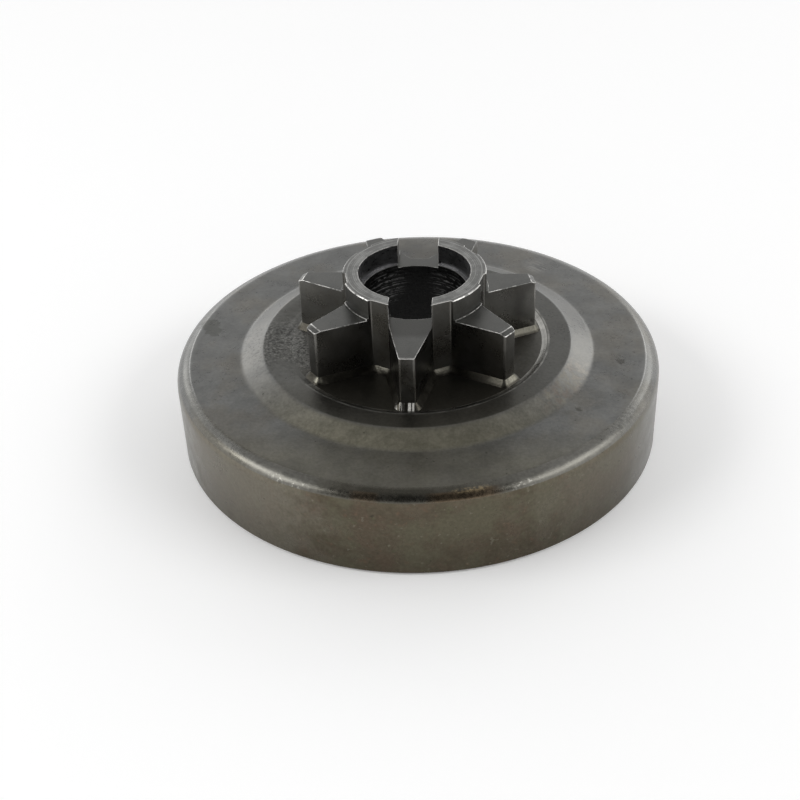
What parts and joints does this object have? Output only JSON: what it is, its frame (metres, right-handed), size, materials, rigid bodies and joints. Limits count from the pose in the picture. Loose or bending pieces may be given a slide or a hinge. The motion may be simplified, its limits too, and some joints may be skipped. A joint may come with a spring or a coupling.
{
  "type": "chainsaw clutch drum with spur sprocket",
  "caption": "Cup-shaped steel clutch drum with a spur sprocket and a slotted collar on its end plate; carries the saw chain and runs on a bearing in its bore.",
  "frame": {"origin": "on the axis of rotation, in the plane of the open rim", "axes": "+Z along the axis, from the open rim towards the sprocket; -Y through the middle of the front tooth and the front slot"},
  "size_m": [0.075, 0.075, 0.0273],
  "materials": {
    "oiled_steel": "dark oiled steel, as forged in places, turned on the sprocket and collar, bright on worn edges"
  },
  "bodies": {
    "root": {"spur_clutch_drum": "oiled_steel"}
  },
  "joints": []
}
